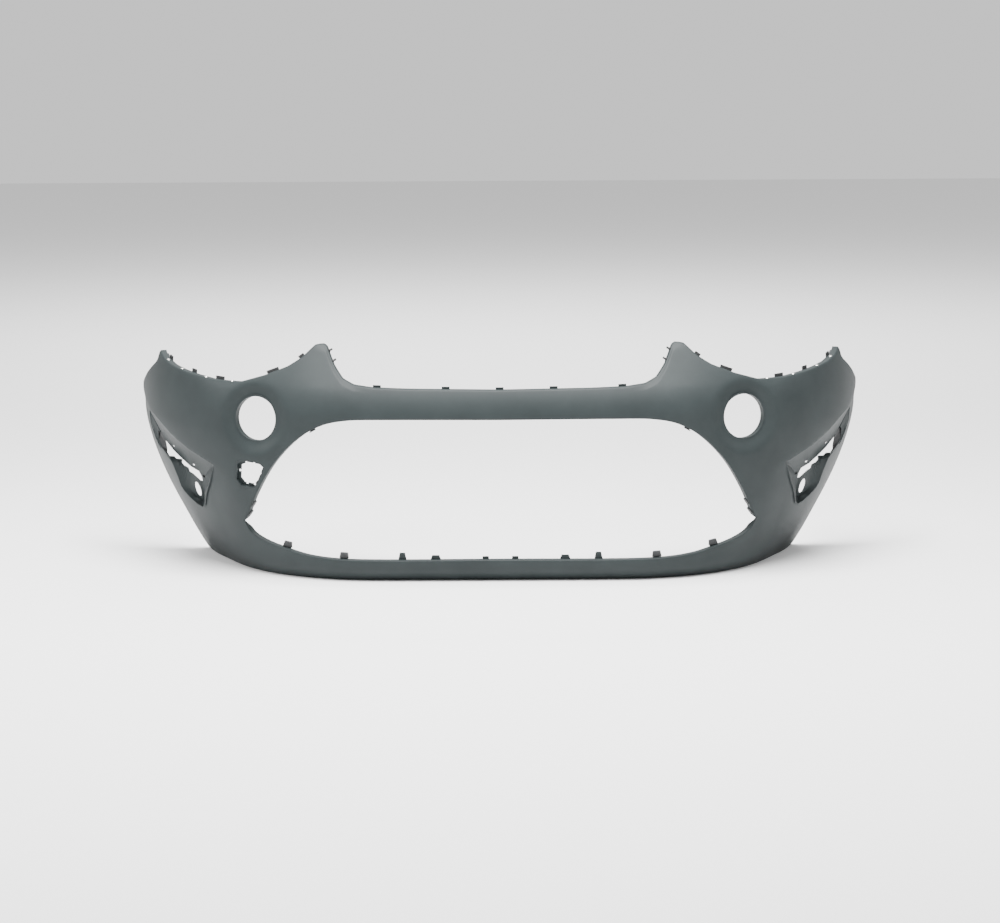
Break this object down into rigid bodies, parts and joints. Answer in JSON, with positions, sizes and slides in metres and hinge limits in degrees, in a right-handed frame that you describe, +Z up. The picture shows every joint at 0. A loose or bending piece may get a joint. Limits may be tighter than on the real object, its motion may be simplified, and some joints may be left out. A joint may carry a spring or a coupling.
{
  "type": "bumper cover",
  "caption": "Primed moulded front bumper cover for a passenger car, with wide grille opening, two round fog lamp holes, side pockets and fitted clips and brackets.",
  "frame": {"origin": "centre of the bounding box's base: on the floor the lower lip stands on, on the centre plane, half way between the front and the rear ends", "axes": "+Z up, front of the car towards -Y, +X to the viewer's right when looking at the front"},
  "size_m": [1.7838, 0.541, 0.543],
  "materials": {
    "primed_plastic": "satin grey-green primer",
    "black_plastic": "grained",
    "zinc_steel": "zinc plated"
  },
  "bodies": {
    "root": {"bumper_skin": "primed_plastic", "headlamp_rail_left": "black_plastic", "headlamp_rail_right": "black_plastic", "wing_bracket_left": "black_plastic", "wing_bracket_right": "black_plastic", "pocket_frame_left": "black_plastic", "pocket_frame_right": "black_plastic", "grille_clips_left": "black_plastic", "grille_clips_right": "black_plastic", "grille_clips_lower": "black_plastic", "grille_studs_left": "black_plastic", "grille_studs_right": "black_plastic", "headlamp_rail_rivets_left": "zinc_steel", "headlamp_rail_rivets_right": "zinc_steel", "wing_bracket_screws_left": "zinc_steel", "wing_bracket_screws_right": "zinc_steel", "arch_clip_nuts_left": "zinc_steel", "arch_clip_nuts_right": "zinc_steel", "undertray_clip_nuts": "zinc_steel"}
  },
  "joints": []
}
